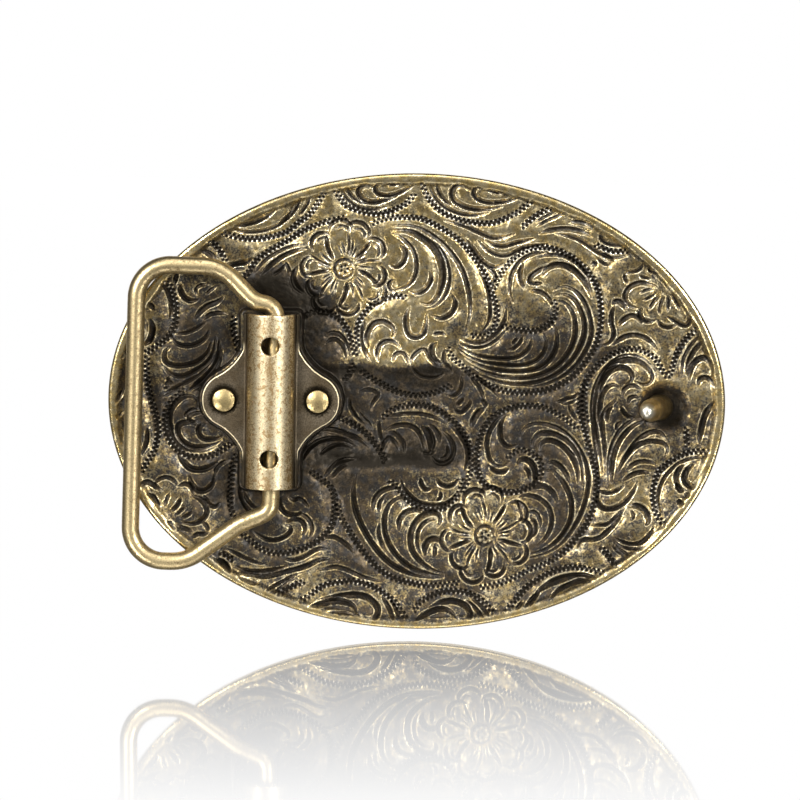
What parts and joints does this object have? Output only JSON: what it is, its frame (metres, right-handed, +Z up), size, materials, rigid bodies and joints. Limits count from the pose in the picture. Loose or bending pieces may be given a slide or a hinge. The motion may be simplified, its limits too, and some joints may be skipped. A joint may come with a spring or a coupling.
{
  "type": "belt buckle",
  "caption": "Oval western plate buckle with a dished, scroll-engraved back, a riveted hinge bracket, a swinging wire bail and a leaning belt prong.",
  "frame": {"origin": "centre of the oval, in the plane of the plate's rear rim, where the belt passes", "axes": "+X towards the prong, +Y towards the decorated front, +Z up as worn"},
  "size_m": [0.095, 0.0129, 0.0704],
  "materials": {
    "cast_plate": "antique brass, dark patina in the engraving, worn gold on the highs",
    "bracket_sheet": "brushed champagne brass with dark ears",
    "rivets": "bright worn brass",
    "prong": "antique brass with a silvery worn tip",
    "bail_wire": "satin champagne brass with fine dark speckle"
  },
  "bodies": {
    "buckle": {"plate": "cast_plate", "hinge_bracket": "bracket_sheet", "rivet_left": "rivets", "rivet_right": "rivets", "hook_prong": "prong"},
    "bail": {"bail": "bail_wire"}
  },
  "joints": [
    {"name": "bail_swing", "type": "hinge", "parent": "buckle", "child": "bail", "pos_m": [-0.022, -0.0022, -0.00235], "axis": [0.0175, 0, 0.9998], "range_deg": [0, 178]}
  ]
}
